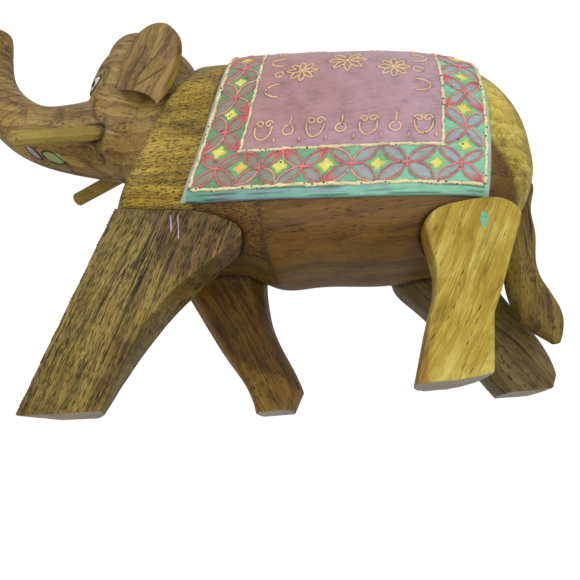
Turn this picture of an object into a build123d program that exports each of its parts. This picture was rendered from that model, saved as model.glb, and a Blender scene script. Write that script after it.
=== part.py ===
"""Hand-carved wooden elephant, walking with its trunk raised and wearing a painted saddle blanket.

The figure is glued up from carved blocks: a torso, a shoulder block, a head with its trunk, four legs,
a tail, two ears and two tusks, with hidden dowels across the joints. The blanket and the forehead cap
are built up in gesso on the wood and painted.

Millimetres. +Z is up, the elephant faces -X and its left side is towards -Y.
The origin is on the floor, under the centre of the whole figure.
"""

import os
from math import copysign, cos, pi, radians, sin

from build123d import *

# --- driving dimensions ---------------------------------------------------------------------------

OUTLINE_POINTS = 20  # spline points round one carved cross-section
BACK_SQUARENESS = 2.4  # 2 is an ellipse, more is boxier
BELLY_SQUARENESS = 3.3
HEAD_SQUARENESS = 2.2
TAIL_SQUARENESS = 2.2

BLANKET_THICKNESS = 3.0
CAP_THICKNESS = 1.2
EAR_THICKNESS = 6.0
SHOULDER_EDGE_RADIUS = 3.0

TUSK_LENGTH = 53.0
TUSK_RADIUS = 4.5
TUSK_FACETS = 9
TUSK_SOCKET = (-61.0, 18.5, 155.4)  # left and right of the middle, at the bottom of the socket
TUSK_DIRECTION = (-0.926, 0.340, -0.165)

DOWEL_RADIUS = 2.5
DOWEL_CLEARANCE = 0.1

# The head block is glued to this leaning face, and the shoulder block to the upright one behind it.
NECK_JOINT = Plane(origin=(-26.6, 0, 150.0), x_dir=(0, -1, 0), z_dir=(-0.908, 0, 0.418))
SHOULDER_JOINT = Plane(origin=(20.0, 0, 0), x_dir=(0, 1, 0), z_dir=(1, 0, 0))

# Torso: x, underside, widest level, back, half width.
BODY_STATIONS = [
    (-64.0, 84.0, 120.0, 186.0, 43.0),
    (-46.0, 81.0, 118.0, 190.0, 46.0),
    (-28.0, 79.0, 116.0, 193.0, 47.5),
    (-8.0, 77.0, 114.0, 193.0, 48.5),
    (4.0, 75.0, 112.0, 192.0, 49.5),
    (18.0, 67.5, 112.0, 191.0, 50.0),
    (40.0, 66.0, 112.0, 189.0, 51.0),
    (68.0, 63.5, 112.0, 185.0, 51.5),
    (96.0, 63.5, 112.0, 180.0, 51.0),
    (122.0, 68.0, 112.0, 172.0, 47.0),
    (139.0, 78.0, 114.0, 162.0, 38.5),
    (149.5, 89.5, 117.0, 151.0, 27.0),
    (155.5, 102.0, 120.0, 140.0, 16.0),
    (158.0, 111.0, 121.0, 132.0, 7.0),
]

# Neck: distance in front of the neck joint, middle of the section up the leaning face, half height,
# half width.
NECK_STATIONS = [
    (0.0, 2.0, 40.0, 37.0),
    (8.0, 2.0, 38.5, 34.5),
    (18.0, 3.0, 36.0, 30.5),
    (30.0, 4.0, 30.0, 26.0),
]

# Head without its trunk: height, front, back, half width.
HEAD_STATIONS = [
    (136.0, -66.0, -52.0, 9.0),
    (141.0, -72.0, -45.0, 20.0),
    (150.0, -76.0, -38.0, 26.5),
    (162.0, -79.0, -30.0, 28.5),
    (178.0, -82.0, -22.0, 31.5),
    (193.0, -80.0, -18.0, 32.0),
    (205.0, -74.0, -22.0, 28.0),
    (213.0, -66.0, -32.0, 19.0),
    (216.5, -58.0, -42.0, 8.0),
]
DOME_RADIUS = 19.0
DOME_CENTRE = (-50.0, 11.5, 202.0)  # left and right of the middle

# Trunk: x and z of the centreline, radius, and the slope of the centreline there in degrees above -X.
TRUNK_STATIONS = [
    (-60.0, 164.0, 26.0, 2.0),
    (-84.0, 164.5, 22.5, 8.0),
    (-106.0, 169.0, 19.0, 19.0),
    (-125.0, 178.5, 16.5, 37.0),
    (-139.0, 193.0, 14.5, 57.0),
    (-148.0, 211.0, 12.5, 76.0),
    (-150.7, 230.0, 10.8, 88.0),
    (-150.2, 245.0, 9.6, 94.0),
    (-149.7, 251.0, 8.2, 94.0),
]

# Legs: side outline of the outer face as strokes of x and z, closed in order round the leg.
FRONT_LEFT_LEG = [
    [(-92.0, 0.0), (-52.4, 0.0)],
    [(-52.4, 0.0), (-43.2, 19.0), (-32.0, 38.0), (-21.6, 49.2), (-6.6, 60.6), (11.2, 72.8)],
    [(11.2, 72.8), (11.4, 76.2), (5.0, 82.2), (-6.4, 87.2), (-17.0, 89.6)],
    [(-17.0, 89.6), (-49.0, 94.0)],
    [(-49.0, 94.0), (-92.0, 0.0)],
]
FRONT_RIGHT_LEG = [
    [(0.8, 0.0), (21.8, 0.0)],
    [(21.8, 0.0), (27.7, 11.0)],
    [(27.7, 11.0), (20.2, 30.2), (14.1, 45.1), (11.4, 58.6), (10.5, 72.3), (10.5, 89.0)],
    [(10.5, 89.0), (-46.3, 92.0)],
    [(-46.3, 92.0), (-38.6, 75.7), (-25.0, 50.1), (-12.6, 28.8), (-6.2, 19.3), (0.8, 0.0)],
]
HIND_LEFT_LEG = [
    [(78.6, 0.0), (110.6, 0.0)],
    [(110.6, 0.0), (115.3, 26.8)],
    [(115.3, 26.8), (119.8, 36.4), (134.2, 69.0)],
    [(134.2, 69.0), (128.5, 76.6), (110.6, 78.3), (97.5, 75.6), (91.0, 69.0)],
    [(91.0, 69.0), (93.6, 50.0)],
    [(93.6, 50.0), (92.4, 41.0), (88.4, 29.5)],
    [(88.4, 29.5), (78.6, 0.0)],
]
HIND_RIGHT_LEG = [
    [(131.0, 0.0), (157.4, 0.0)],
    [(157.4, 0.0), (161.5, 8.0)],
    [(161.5, 8.0), (161.3, 12.0)],
    [(161.3, 12.0), (152.3, 35.2), (140.6, 56.2), (137.0, 66.0), (136.0, 78.0)],
    [(136.0, 78.0), (86.0, 78.0)],
    [(86.0, 78.0), (83.6, 66.0), (91.2, 55.5), (109.0, 33.5), (125.6, 8.0), (131.0, 0.0)],
]
# The line that each leg narrows towards: x at the floor, and x at the height that follows.
FRONT_LEFT_CORE = (-80.0, 10.0, 90.0)
FRONT_RIGHT_CORE = (12.0, -20.0, 90.0)
HIND_LEFT_CORE = (95.0, 112.0, 75.0)
HIND_RIGHT_CORE = (146.0, 110.0, 78.0)
# Left and right of the middle plane, from the outer face inwards: place, and share of the full width.
FRONT_LEFT_LAYERS = [(48.0, 1.0), (36.0, 0.88), (25.0, 0.7), (17.0, 0.5)]
FRONT_RIGHT_LAYERS = [(48.0, 0.9), (40.0, 1.0), (26.0, 0.96), (17.0, 0.72)]
HIND_LEFT_LAYERS = [(50.0, 0.97), (46.0, 1.0), (34.0, 0.98), (24.0, 0.85), (17.0, 0.6)]
HIND_RIGHT_LAYERS = [(50.0, 0.9), (42.0, 1.0), (28.0, 0.97), (18.0, 0.75)]

FRONT_LEFT_TOE = (-70.0, 2.5)  # x where the worn edge of the sole starts, and its slope in degrees
HIND_LEFT_HEEL = (96.0, -7.0)
HIND_RIGHT_HEEL = (150.0, -9.0)

# Tail: height, front, back, half width.
TAIL_STATIONS = [
    (19.5, 151.5, 155.5, 2.5),
    (24.0, 146.5, 157.6, 6.0),
    (33.0, 138.5, 159.0, 9.0),
    (44.0, 135.3, 156.0, 9.5),
    (54.0, 134.8, 152.6, 8.0),
    (64.0, 136.2, 152.6, 7.0),
    (80.0, 140.0, 154.8, 7.5),
    (94.0, 143.0, 156.0, 7.5),
    (106.0, 144.0, 154.0, 6.0),
]

# Saddle blanket seen from the side: front edge upwards, rear edge downwards, and the hem between them.
BLANKET_FRONT = [(-17.5, 93.5), (-12.2, 107.3), (-3.8, 131.5), (3.0, 156.0), (8.0, 215.0)]
BLANKET_REAR = [(131.5, 215.0), (131.5, 160.0), (129.5, 120.0), (126.5, 100.0), (122.5, 80.5)]
BLANKET_HEM = [(122.5, 80.5), (88.0, 83.2), (52.0, 86.0), (16.0, 89.5), (-17.5, 93.5)]

# Forehead cap seen from the front: half width and height, from its point on the trunk to its top.
CAP_OUTLINE = [(0.0, 190.0), (9.0, 195.0), (14.0, 203.0), (10.0, 211.0), (0.0, 214.0)]
CAP_REACH = (-100.0, -64.0)

# Ear seen square on: distance back from its front edge, and height.
EAR_OUTLINE = [
    (0.0, 168.0),
    (4.0, 190.0),
    (17.0, 202.0),
    (33.0, 199.0),
    (41.0, 184.0),
    (34.0, 160.0),
    (18.0, 142.0),
]
EAR_FRONT = (-53.0, 29.0)  # x and distance from the middle of the ear's front edge
EAR_TURN = 22.0  # degrees that the ear stands out from the head

# Dowels: middle of each, left and right of the middle plane, and length.
FRONT_LEG_DOWEL = (-24.0, 21.0, 84.0, 24.0)
HIND_LEG_DOWEL = (112.0, 20.0, 70.5, 24.0)
SHOULDER_DOWEL = (20.0, 22.0, 130.0, 44.0)
NECK_DOWEL = (-26.6, 14.0, 150.0, 36.0)


# --- carved sections ------------------------------------------------------------------------------


def section(low, middle, high, half_width, squareness_low, squareness_high):
    """Outline of a carved section. Its lower and its upper half have their own depth and squareness."""
    points = []
    for i in range(OUTLINE_POINTS):
        c, s = cos(2 * pi * i / OUTLINE_POINTS), sin(2 * pi * i / OUTLINE_POINTS)
        power = 2 / (squareness_high if s > 0 else squareness_low)
        depth = high - middle if s > 0 else low - middle
        points.append((copysign(abs(c) ** power, c) * half_width, middle + abs(s) ** power * depth))
    return points


def body_form(grow=0.0):
    """The whole torso as one form, before it is divided into blocks, grown outwards by grow."""
    with BuildPart() as form:
        for x, low, middle, high, half_width in BODY_STATIONS:
            bottom, top = low - grow, high + grow
            outline = section(bottom, middle, top, half_width + grow, BELLY_SQUARENESS, BACK_SQUARENESS)
            with BuildSketch(Plane(origin=(x, 0, 0), x_dir=(0, 1, 0), z_dir=(1, 0, 0))):
                with BuildLine():
                    Spline(*outline, periodic=True)
                make_face()
        loft()
    return form.part


def level_form(stations, squareness, grow=0.0):
    """A form on the middle plane, lofted through level sections: height, front, back, half width."""
    with BuildPart() as form:
        for z, front, back, half_width in stations:
            depth = half_width + grow
            outline = section(-depth, 0, depth, (back - front) / 2 + grow, squareness, squareness)
            with BuildSketch(Plane(origin=((front + back) / 2, 0, z))):
                with BuildLine():
                    Spline(*outline, periodic=True)
                make_face()
        loft()
    return form.part


def leg_form(outline, core, layers, side):
    """A leg lofted from its outer face inwards. side is -1 on the left and 1 on the right."""
    core_foot, core_top, core_height = core
    with BuildPart() as form:
        for distance, share in layers:
            with BuildSketch(Plane.XZ.offset(-side * distance)):
                with BuildLine():
                    for stroke in outline:
                        points = []
                        for x, z in stroke:
                            core_x = core_foot + (core_top - core_foot) * z / core_height
                            points.append((core_x + (x - core_x) * share, z))
                        if len(points) == 2:
                            Line(*points)
                        else:
                            Spline(*points)
                make_face()
        loft(ruled=True)
    return form.part


def tilted_level(x, z, slope):
    """A plane through x, z that falls backwards by slope degrees."""
    return Plane(origin=(x, 0, z), x_dir=(0, 1, 0), z_dir=(sin(radians(slope)), 0, cos(radians(slope))))


def neck_form():
    """The neck, lofted forwards from the leaning neck joint."""
    with BuildPart() as form:
        for ahead, middle, half_height, half_width in NECK_STATIONS:
            low, high = middle - half_height, middle + half_height
            outline = section(low, middle, high, half_width, HEAD_SQUARENESS, HEAD_SQUARENESS)
            with BuildSketch(NECK_JOINT.offset(ahead)):
                with BuildLine():
                    Spline(*outline, periodic=True)
                make_face()
        loft()
    return form.part


def trunk_form():
    """The trunk, lofted through round sections that follow its raised curve."""
    with BuildPart() as form:
        for x, z, radius, slope in TRUNK_STATIONS:
            along = (-cos(radians(slope)), 0, sin(radians(slope)))
            with BuildSketch(Plane(origin=(x, 0, z), x_dir=(0, 1, 0), z_dir=along)):
                Circle(radius)
        loft()
    return form.part


def worn_sole(form, x, slope):
    """A leg with one edge of its sole worn away on a slope, starting at x."""
    with BuildPart() as worn:
        add(form)
        split(bisect_by=tilted_level(x, 0, slope), keep=Keep.TOP)
    return worn.part


def dowel_pair(x, y, z, length, plane, clearance=0.0):
    """Two dowels, left and right of the middle plane, square to a joint. clearance widens them into holes."""
    with BuildPart() as pair:
        for side in (-1, 1):
            with BuildSketch(Plane(origin=(x, side * y, z), x_dir=plane.x_dir, z_dir=plane.z_dir)):
                Circle(DOWEL_RADIUS + clearance)
            extrude(amount=length / 2, both=True)
    return pair.part


def tusk_form(side):
    """A whittled, faceted tusk with a blunt end. side is -1 on the left and 1 on the right."""
    x, y, z = TUSK_SOCKET
    dx, dy, dz = TUSK_DIRECTION
    with BuildPart() as form:
        with BuildSketch(Plane(origin=(x, side * y, z), z_dir=(dx, side * dy, dz))):
            RegularPolygon(TUSK_RADIUS, TUSK_FACETS)
        extrude(amount=TUSK_LENGTH)
    return form.part


def ear_form(side):
    """A leaf-shaped ear that stands out from the head. side is -1 on the left and 1 on the right."""
    x, y = EAR_FRONT
    turn = radians(EAR_TURN)
    back = (cos(turn), side * sin(turn), 0)
    outward = (-sin(turn), side * cos(turn), 0)
    with BuildPart() as form:
        with BuildSketch(Plane(origin=(x, side * y, 0), x_dir=back, z_dir=outward)):
            with BuildLine():
                Spline(*[(back_by, -side * z) for back_by, z in EAR_OUTLINE], periodic=True)
            make_face()
        extrude(amount=EAR_THICKNESS)
        fillet(form.faces().sort_by(Axis.Y)[0 if side < 0 else -1].edges(), 1.5)
    return form.part


def blanket_form():
    """Side outline of the blanket, as a prism right through the figure."""
    with BuildPart() as form:
        with BuildSketch(Plane.XZ):
            with BuildLine():
                Spline(*BLANKET_FRONT)
                Line(BLANKET_FRONT[-1], BLANKET_REAR[0])
                Spline(*BLANKET_REAR)
                Spline(*BLANKET_HEM)
            make_face()
        extrude(amount=80, both=True)
    return form.part


def cap_form():
    """Front outline of the forehead cap, as a prism through the forehead."""
    right = [(y, z) for y, z in CAP_OUTLINE]
    left = [(-y, z) for y, z in reversed(CAP_OUTLINE[1:-1])]
    with BuildPart() as form:
        with BuildSketch(Plane(origin=(CAP_REACH[0], 0, 0), x_dir=(0, 1, 0), z_dir=(1, 0, 0))):
            with BuildLine():
                Spline(*right, *left, periodic=True)
            make_face()
        extrude(amount=CAP_REACH[1] - CAP_REACH[0])
    return form.part


def write(piece, name):
    """Labels a finished piece and writes its STEP file."""
    piece.part.label = name
    export_step(piece.part, f"parts/{name}.step")


# --- forms that the pieces are cut from -----------------------------------------------------------

os.makedirs("parts", exist_ok=True)

body = body_form()
head = level_form(HEAD_STATIONS, HEAD_SQUARENESS)
neck = neck_form()
trunk = trunk_form()
tail_root = level_form(TAIL_STATIONS, TAIL_SQUARENESS)
legs = {
    "leg_front_left": leg_form(FRONT_LEFT_LEG, FRONT_LEFT_CORE, FRONT_LEFT_LAYERS, -1),
    "leg_front_right": leg_form(FRONT_RIGHT_LEG, FRONT_RIGHT_CORE, FRONT_RIGHT_LAYERS, 1),
    "leg_hind_left": leg_form(HIND_LEFT_LEG, HIND_LEFT_CORE, HIND_LEFT_LAYERS, -1),
    "leg_hind_right": leg_form(HIND_RIGHT_LEG, HIND_RIGHT_CORE, HIND_RIGHT_LAYERS, 1),
}
worn_edges = {
    "leg_front_left": FRONT_LEFT_TOE,
    "leg_hind_left": HIND_LEFT_HEEL,
    "leg_hind_right": HIND_RIGHT_HEEL,
}
for name, edge in worn_edges.items():
    legs[name] = worn_sole(legs[name], *edge)
tusks = {"tusk_left": tusk_form(-1), "tusk_right": tusk_form(1)}

dowels = {
    "front_leg_dowels": (*FRONT_LEG_DOWEL, Plane.XZ),
    "hind_leg_dowels": (*HIND_LEG_DOWEL, Plane.XZ),
    "shoulder_dowels": (*SHOULDER_DOWEL, SHOULDER_JOINT),
    "neck_dowels": (*NECK_DOWEL, NECK_JOINT),
}
dowel_holes = [dowel_pair(*place, clearance=DOWEL_CLEARANCE) for place in dowels.values()]

# --- blocks ---------------------------------------------------------------------------------------

with BuildPart() as torso_block:
    add(body)
    split(bisect_by=SHOULDER_JOINT, keep=Keep.TOP)
    for cutter in (*legs.values(), tail_root, *dowel_holes):
        add(cutter, mode=Mode.SUBTRACT)
write(torso_block, "torso_block")

with BuildPart() as shoulder_block:
    add(body)
    split(bisect_by=SHOULDER_JOINT, keep=Keep.BOTTOM)
    split(bisect_by=NECK_JOINT, keep=Keep.BOTTOM)
    leaning_face = shoulder_block.faces().sort_by(Axis(origin=(0, 0, 0), direction=NECK_JOINT.z_dir))[-1]
    fillet(leaning_face.edges(), SHOULDER_EDGE_RADIUS)
    for cutter in (*legs.values(), *dowel_holes):
        add(cutter, mode=Mode.SUBTRACT)
write(shoulder_block, "shoulder_block")

with BuildPart() as head_and_trunk:
    add(head)
    add(neck)
    add(trunk)
    for side in (-1, 1):
        with Locations((DOME_CENTRE[0], side * DOME_CENTRE[1], DOME_CENTRE[2])):
            Sphere(DOME_RADIUS)
    split(bisect_by=NECK_JOINT, keep=Keep.TOP)
    for cutter in (*tusks.values(), *dowel_holes):
        add(cutter, mode=Mode.SUBTRACT)
write(head_and_trunk, "head_and_trunk")

for name, form in legs.items():
    with BuildPart() as leg:
        add(form)
        for hole in dowel_holes:
            add(hole, mode=Mode.SUBTRACT)
    write(leg, name)

with BuildPart() as tail:
    add(tail_root)
write(tail, "tail")

for name, form in tusks.items():
    with BuildPart() as tusk:
        add(form)
    write(tusk, name)

for side, name in ((-1, "ear_left"), (1, "ear_right")):
    with BuildPart() as ear:
        add(ear_form(side))
        for cutter in (head, neck, trunk, body):
            add(cutter, mode=Mode.SUBTRACT)
    write(ear, name)

for name, place in dowels.items():
    with BuildPart() as pair:
        add(dowel_pair(*place))
    write(pair, name)

# --- gesso and paint ------------------------------------------------------------------------------

with BuildPart() as saddle_blanket:
    add(body_form(BLANKET_THICKNESS))
    add(blanket_form(), mode=Mode.INTERSECT)
    add(body, mode=Mode.SUBTRACT)
write(saddle_blanket, "saddle_blanket")

with BuildPart() as head_cap:
    add(level_form(HEAD_STATIONS, HEAD_SQUARENESS, CAP_THICKNESS))
    add(cap_form(), mode=Mode.INTERSECT)
    add(head_and_trunk.part, mode=Mode.SUBTRACT)
write(head_cap, "head_cap")
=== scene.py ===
"""Looks of the carved wooden elephant: wood, worn joints, painted blanket, forehead cap, eyes and light.

Metres in the row frame, as the CAD. The elephant faces -X and its left side is towards -Y.
"""

import math

import bmesh
import bpy
import numpy as np
from mathutils import Matrix, Vector, noise
from mathutils.bvhtree import BVHTree
from mathutils.kdtree import KDTree


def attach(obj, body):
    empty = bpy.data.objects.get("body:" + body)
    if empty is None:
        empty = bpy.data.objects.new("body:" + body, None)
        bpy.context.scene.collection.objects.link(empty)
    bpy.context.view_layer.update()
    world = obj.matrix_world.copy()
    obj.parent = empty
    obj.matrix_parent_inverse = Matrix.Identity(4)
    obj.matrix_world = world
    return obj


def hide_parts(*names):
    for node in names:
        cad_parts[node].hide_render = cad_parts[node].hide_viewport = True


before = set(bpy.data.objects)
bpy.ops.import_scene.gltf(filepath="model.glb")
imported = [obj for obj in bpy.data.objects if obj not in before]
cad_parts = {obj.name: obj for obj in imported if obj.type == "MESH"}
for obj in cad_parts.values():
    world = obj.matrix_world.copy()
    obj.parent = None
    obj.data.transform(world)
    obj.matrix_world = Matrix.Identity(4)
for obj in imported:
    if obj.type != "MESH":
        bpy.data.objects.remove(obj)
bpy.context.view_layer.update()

MM = 0.001


# --- camera, floor and light ----------------------------------------------------------------------

CAMERA_PLACE = (0.052, -0.280, -0.027)
CAMERA_YAW = -5.1  # degrees, turned towards the head
CAMERA_PITCH = 17.2
CAMERA_ROLL = -4.15
LENS_MM = 35.0
FLOOR_REACH = 3.0
FLOOR_LEVEL = -0.0004  # just under the soles, so that the two surfaces don't fight


def link(obj):
    """Puts a new object into the scene."""
    bpy.context.scene.collection.objects.link(obj)
    return obj


def make_camera():
    """A camera close to the near side and a little below the soles, looking up at the flank."""
    yaw, pitch, roll = (math.radians(a) for a in (CAMERA_YAW, CAMERA_PITCH, CAMERA_ROLL))
    ahead = Vector((math.sin(yaw) * math.cos(pitch), math.cos(yaw) * math.cos(pitch), math.sin(pitch)))
    level = Vector((math.cos(yaw), -math.sin(yaw), 0))
    upright = level.cross(ahead)
    right = level * math.cos(roll) + upright * math.sin(roll)
    up = upright * math.cos(roll) - level * math.sin(roll)
    data = bpy.data.cameras.new("camera")
    data.lens = LENS_MM
    data.sensor_width = 36.0
    data.clip_start = 0.005
    camera = link(bpy.data.objects.new("camera", data))
    turn = Matrix((right, up, -ahead)).transposed().to_4x4()
    camera.matrix_world = Matrix.Translation(CAMERA_PLACE) @ turn
    bpy.context.scene.camera = camera


def aim(obj, target):
    """Turns a lamp to shine at a point."""
    obj.rotation_euler = (Vector(target) - obj.location).to_track_quat("-Z", "Y").to_euler()


def make_lights():
    """A large soft key above on the left, a fill on the right, and soft lamps below and above."""
    for name, place, size, power in (
        ("key", (-0.75, -1.15, 0.95), 1.0, 8.0),
        ("fill", (1.10, -1.20, 0.35), 1.4, 5.5),
        ("low", (0.10, -1.10, -0.60), 1.3, 8.0),
        ("top", (0.05, 0.15, 1.60), 1.6, 4.0),
    ):
        data = bpy.data.lights.new(name, "AREA")
        data.size = size
        data.energy = power
        lamp = link(bpy.data.objects.new(name, data))
        lamp.location = place
        aim(lamp, (0.0, 0.0, 0.12))


def make_world():
    """White behind the object for the camera, and a dimmer, nearly even pale light on the object."""
    world = bpy.data.worlds.new("studio")
    bpy.context.scene.world = world
    world.use_nodes = True
    tree = world.node_tree
    tree.nodes.clear()
    place = node(tree, "ShaderNodeTexCoord")
    height = node(tree, "ShaderNodeSeparateXYZ", {0: place.outputs["Generated"]})
    stops = [(0.0, (0.42, 0.41, 0.38)), (0.45, (0.41, 0.41, 0.40)), (1.0, (0.43, 0.44, 0.45))]
    sky = ramp(tree, height.outputs["Z"], stops)
    lit = node(tree, "ShaderNodeBackground", {"Color": sky, "Strength": 1.0})
    seen = node(tree, "ShaderNodeBackground", {"Color": (1, 1, 1, 1), "Strength": 1.05})
    path = node(tree, "ShaderNodeLightPath")
    both = mixed_shader(tree, path.outputs["Is Camera Ray"], lit, seen)
    node(tree, "ShaderNodeOutputWorld", {"Surface": both})


def make_floor():
    """A plain pale floor that shows only from above, because the camera stands a little below its level."""
    material = bpy.data.materials.new("pale_floor")
    material.use_nodes = True
    tree = material.node_tree
    tree.nodes.clear()
    side = node(tree, "ShaderNodeNewGeometry")
    pale = node(tree, "ShaderNodeBsdfPrincipled", {"Base Color": (0.86, 0.86, 0.85, 1), "Roughness": 0.7})
    clear = node(tree, "ShaderNodeBsdfTransparent")
    both = mixed_shader(tree, side.outputs["Backfacing"], pale, clear)
    node(tree, "ShaderNodeOutputMaterial", {"Surface": both})
    mesh = bpy.data.meshes.new("floor")
    corners = ((-1, -1), (1, -1), (1, 1), (-1, 1))
    places = [(x * FLOOR_REACH, y * FLOOR_REACH, FLOOR_LEVEL) for x, y in corners]
    mesh.from_pydata(places, [], [(0, 1, 2, 3)])
    mesh.materials.append(material)
    floor = link(bpy.data.objects.new("floor", mesh))
    floor.visible_diffuse = False
    floor.visible_glossy = False
    floor.visible_shadow = False


# --- shader helpers -------------------------------------------------------------------------------


def node(tree, kind, inputs=None, **settings):
    """Adds a node. An input may be a value or another node's output."""
    made = tree.nodes.new(kind)
    for key, value in settings.items():
        setattr(made, key, value)
    for key, value in (inputs or {}).items():
        if isinstance(value, bpy.types.NodeSocket):
            tree.links.new(value, made.inputs[key])
        else:
            made.inputs[key].default_value = value
    return made


def math_node(tree, operation, a, b=0.0, clamp=False):
    """The output of a Math node."""
    return node(tree, "ShaderNodeMath", {0: a, 1: b}, operation=operation, use_clamp=clamp).outputs[0]


def times(tree, a, b, clamp=False):
    """a times b."""
    return math_node(tree, "MULTIPLY", a, b, clamp)


def plus(tree, a, b, clamp=False):
    """a plus b."""
    return math_node(tree, "ADD", a, b, clamp)


def minus(tree, a, b):
    """a minus b."""
    return math_node(tree, "SUBTRACT", a, b)


def attribute(tree, name):
    """A number that each vertex of the mesh carries."""
    return node(tree, "ShaderNodeAttribute", attribute_name=name).outputs["Fac"]


def mixed_shader(tree, share, first, second):
    """One shader over another."""
    return node(tree, "ShaderNodeMixShader", {0: share, 1: first.outputs[0], 2: second.outputs[0]}).outputs[0]


def ramp(tree, value, stops):
    """A colour ramp's colour output. stops are (position, linear colour)."""
    made = node(tree, "ShaderNodeValToRGB", {0: value})
    band = made.color_ramp
    while len(band.elements) < len(stops):
        band.elements.new(0.5)
    for element, (position, colour) in zip(band.elements, stops):
        element.position = position
        element.color = (*colour[:3], 1.0)
    return made.outputs["Color"]


def step(tree, value, low, high):
    """0 below low, 1 above high, smooth between; the other way round if high is below low."""
    made = node(tree, "ShaderNodeMapRange", {0: value, 1: low, 2: high}, interpolation_type="SMOOTHSTEP")
    if high < low:
        made.inputs[1].default_value, made.inputs[2].default_value = high, low
        made.inputs[3].default_value, made.inputs[4].default_value = 1.0, 0.0
    return made.outputs[0]


def mix(tree, share, a, b, blend="MIX"):
    """One colour over another."""
    made = node(tree, "ShaderNodeMix", {0: share, 6: a, 7: b}, data_type="RGBA", blend_type=blend)
    return made.outputs[2]


def rgb(red, green, blue):
    """A linear colour, with alpha, from one seen on a screen, 0 to 255."""
    values = [c / 255 for c in (red, green, blue)]
    return (*[c / 12.92 if c <= 0.04045 else ((c + 0.055) / 1.055) ** 2.4 for c in values], 1.0)


def stretched(tree, vector, across, along):
    """Coordinates scaled for a texture, in cells per metre, where X runs along the grain."""
    return node(
        tree, "ShaderNodeMapping", {"Vector": vector, "Scale": (along, across, across)}
    ).outputs[0]


def cloud(tree, vector, scale=1.0, detail=3.0, rough=0.55, distort=0.0):
    """A noise texture's value."""
    return node(
        tree,
        "ShaderNodeTexNoise",
        {"Vector": vector, "Scale": scale, "Detail": detail, "Roughness": rough, "Distortion": distort},
    ).outputs["Fac"]


def new_material(name):
    """An empty node material and its tree."""
    material = bpy.data.materials.new(name)
    material.use_nodes = True
    material.node_tree.nodes.clear()
    return material, material.node_tree


def finish_material(tree, colour, roughness, height, bump_mm, coat=0.0, specular=0.5):
    """Principled shader with bump. height is 0 to 1 and stands bump_mm proud."""
    bump = node(tree, "ShaderNodeBump", {"Strength": 1.0, "Distance": bump_mm * MM, "Height": height})
    shader = node(
        tree,
        "ShaderNodeBsdfPrincipled",
        {
            "Base Color": colour,
            "Roughness": roughness,
            "Normal": bump.outputs[0],
            "Coat Weight": coat,
            "Coat Roughness": 0.28,
            "Specular IOR Level": specular,
        },
    )
    node(tree, "ShaderNodeOutputMaterial", {"Surface": shader.outputs[0]})


BARE_WOOD = (rgb(112, 100, 84), rgb(186, 176, 160))  # unlacquered end grain on the soles


def along_grain(tree, grain, shift):
    """Object coordinates turned so that X runs along the grain, moved by shift, and swaying slightly."""
    along = Vector(grain).normalized()
    across = along.cross(Vector((0, 1, 0))).normalized()
    turn = Matrix((along, across.cross(along), across))
    place = node(tree, "ShaderNodeTexCoord").outputs["Object"]
    settings = {"Vector": place, "Rotation": turn.to_euler(), "Location": (shift, shift, 0)}
    place = node(tree, "ShaderNodeMapping", settings).outputs[0]
    settings = {"Vector": stretched(tree, place, 30.0, 12.0), "Scale": 1.0, "Detail": 2.0}
    sway = node(tree, "ShaderNodeTexNoise", settings).outputs["Color"]
    sway = node(tree, "ShaderNodeVectorMath", {0: sway, 1: (0.5, 0.5, 0.5)}, operation="SUBTRACT").outputs[0]
    sway = node(tree, "ShaderNodeVectorMath", {0: sway, "Scale": 0.012}, operation="SCALE").outputs[0]
    return node(tree, "ShaderNodeVectorMath", {0: place, 1: sway}, operation="ADD").outputs[0]


def growth_rings(tree, place):
    """The saw-toothed bands of the growth rings."""
    settings = {"Vector": place, "Scale": 42.0, "Distortion": 4.0, "Detail": 3.0, "Detail Scale": 1.2}
    looks = {"wave_type": "BANDS", "bands_direction": "Z", "wave_profile": "SAW"}
    return node(tree, "ShaderNodeTexWave", settings, **looks).outputs["Fac"]


def dark_streaks(tree, place):
    """1 on thin dark lines along the grain, which come in bands, and on a few heavier ones."""
    band = cloud(tree, stretched(tree, place, 42.0, 7.0), detail=3.0)
    line = cloud(tree, stretched(tree, place, 520.0, 16.0), detail=4.0, rough=0.65)
    heavy = cloud(tree, stretched(tree, place, 190.0, 7.0), detail=3.0, rough=0.6)
    thin = times(tree, step(tree, line, 0.50, 0.62), step(tree, band, 0.40, 0.60))
    bold = times(tree, step(tree, heavy, 0.60, 0.70), step(tree, line, 0.38, 0.55))
    return math_node(tree, "MAXIMUM", thin, bold)


def pore_dashes(tree, place, pores, short):
    """1 on the open pores: a coarse and a fine set of dashes, crowded in places."""
    sets = []
    for across_by, along_by, fewer in ((1500.0, 330.0 * short, 0.0), (2300.0, 560.0 * short, 0.10)):
        settings = {"Vector": stretched(tree, place, across_by, along_by), "Scale": 1.0, "Randomness": 1.0}
        cells = node(tree, "ShaderNodeTexVoronoi", settings, feature="F1")
        lot = node(tree, "ShaderNodeSeparateColor", {0: cells.outputs["Color"]}).outputs[0]
        crowd = cloud(tree, stretched(tree, place, 75.0, 26.0), detail=3.0)
        lot = plus(tree, lot, times(tree, crowd, 1.1))
        limit = 1.46 - 0.62 * pores + fewer
        chosen = step(tree, lot, limit, limit + 0.08)
        sets.append(times(tree, step(tree, cells.outputs["Distance"], 0.46, 0.20), chosen))
    return math_node(tree, "MAXIMUM", *sets)


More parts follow.
